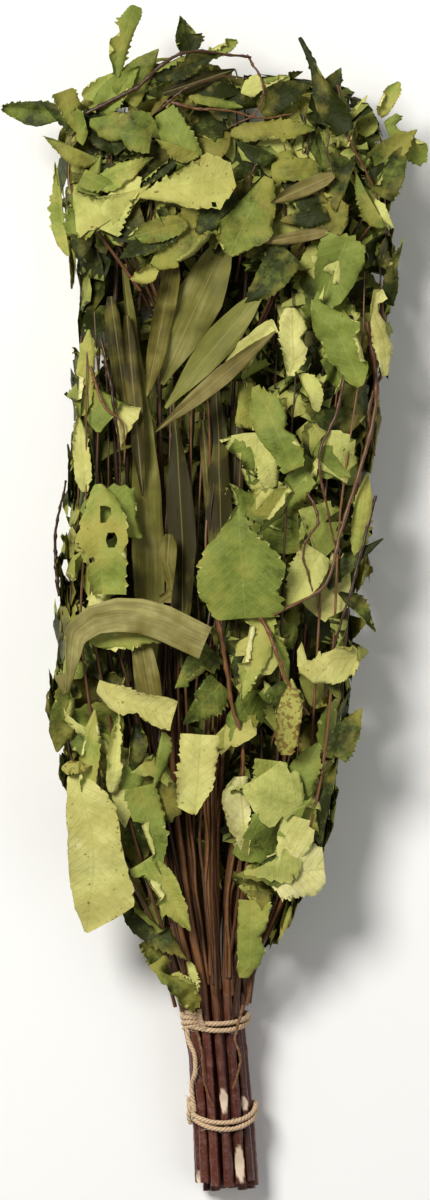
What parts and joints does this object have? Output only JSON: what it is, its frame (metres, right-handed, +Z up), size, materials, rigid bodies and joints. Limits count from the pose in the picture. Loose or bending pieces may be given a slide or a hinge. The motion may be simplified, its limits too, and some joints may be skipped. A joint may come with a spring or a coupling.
{
  "type": "tied bundle of leafy twigs",
  "caption": "Bath whisk: a bundle of dried, leafy birch twigs with long eucalyptus leaves, lying flat, its bare stems bound with jute twine to make a grip.",
  "frame": {"origin": "under the middle of the whole bundle, on the surface it rests on", "axes": "+Y along the bundle from the cut ends of the stems to the leafy head, +X to the right of someone who looks down on its front with the head away from them, +Z up through its front"},
  "size_m": [0.2124, 0.5962, 0.0788],
  "materials": {
    "birch_bark": "satin",
    "eucalyptus_bark": "satin",
    "leaf_green": "matte",
    "leaf_pale": "matte",
    "leaf_dark": "matte",
    "eucalyptus_leaf": "satin",
    "leaf_spray": "matte",
    "jute_twine": "matte"
  },
  "bodies": {
    "root": {"birch_stem_01": "birch_bark", "birch_stem_02": "birch_bark", "birch_stem_03": "birch_bark", "birch_stem_04": "birch_bark", "eucalyptus_stem_05": "eucalyptus_bark", "birch_stem_06": "birch_bark", "birch_stem_07": "birch_bark", "birch_stem_08": "birch_bark", "birch_stem_09": "birch_bark", "birch_stem_10": "birch_bark", "birch_stem_11": "birch_bark", "birch_stem_12": "birch_bark", "birch_stem_13": "birch_bark", "birch_stem_14": "birch_bark", "birch_stem_15": "birch_bark", "birch_stem_16": "birch_bark", "birch_stem_17": "birch_bark", "eucalyptus_stem_18": "eucalyptus_bark", "birch_stem_19": "birch_bark", "birch_stem_20": "birch_bark", "birch_stem_21": "birch_bark", "birch_stem_22": "birch_bark", "under_spray_left": "leaf_spray", "under_spray_middle": "leaf_spray", "under_spray_right": "leaf_spray", "left_spray": "leaf_spray", "inner_right_spray": "leaf_spray", "right_spray": "leaf_spray", "top_left_spray": "leaf_spray", "top_right_spray": "leaf_spray", "birch_leaf_middle": "leaf_green", "birch_leaf_low_left": "leaf_pale", "birch_leaf_top_middle": "leaf_pale", "birch_leaf_top_green": "leaf_green", "birch_leaf_top_olive": "leaf_dark", "birch_leaf_crest": "leaf_green", "birch_leaf_left_tip": "leaf_dark", "birch_leaf_right_of_middle": "leaf_green", "birch_leaf_right_pale": "leaf_pale", "birch_leaf_right_green": "leaf_green", "birch_leaf_right_edge": "leaf_pale", "birch_leaf_left_torn": "leaf_green", "birch_leaf_right_low": "leaf_pale", "birch_leaf_left_strip": "leaf_pale", "birch_leaf_low_middle": "leaf_pale", "birch_leaf_low_half": "leaf_pale", "birch_leaf_low_right": "leaf_pale", "birch_leaf_grip_right": "leaf_green", "birch_leaf_grip_left": "leaf_dark", "birch_leaf_right_top": "leaf_green", "birch_leaf_tall_right": "leaf_dark", "eucalyptus_leaf_crossing": "eucalyptus_leaf", "eucalyptus_leaf_broad": "eucalyptus_leaf", "eucalyptus_leaf_olive": "eucalyptus_leaf", "eucalyptus_leaf_long_left": "eucalyptus_leaf", "eucalyptus_leaf_long_middle": "eucalyptus_leaf", "eucalyptus_leaf_long_right": "eucalyptus_leaf", "eucalyptus_leaf_blunt": "eucalyptus_leaf", "eucalyptus_leaf_wrapping": "eucalyptus_leaf", "binding_twine": "jute_twine"}
  },
  "joints": []
}
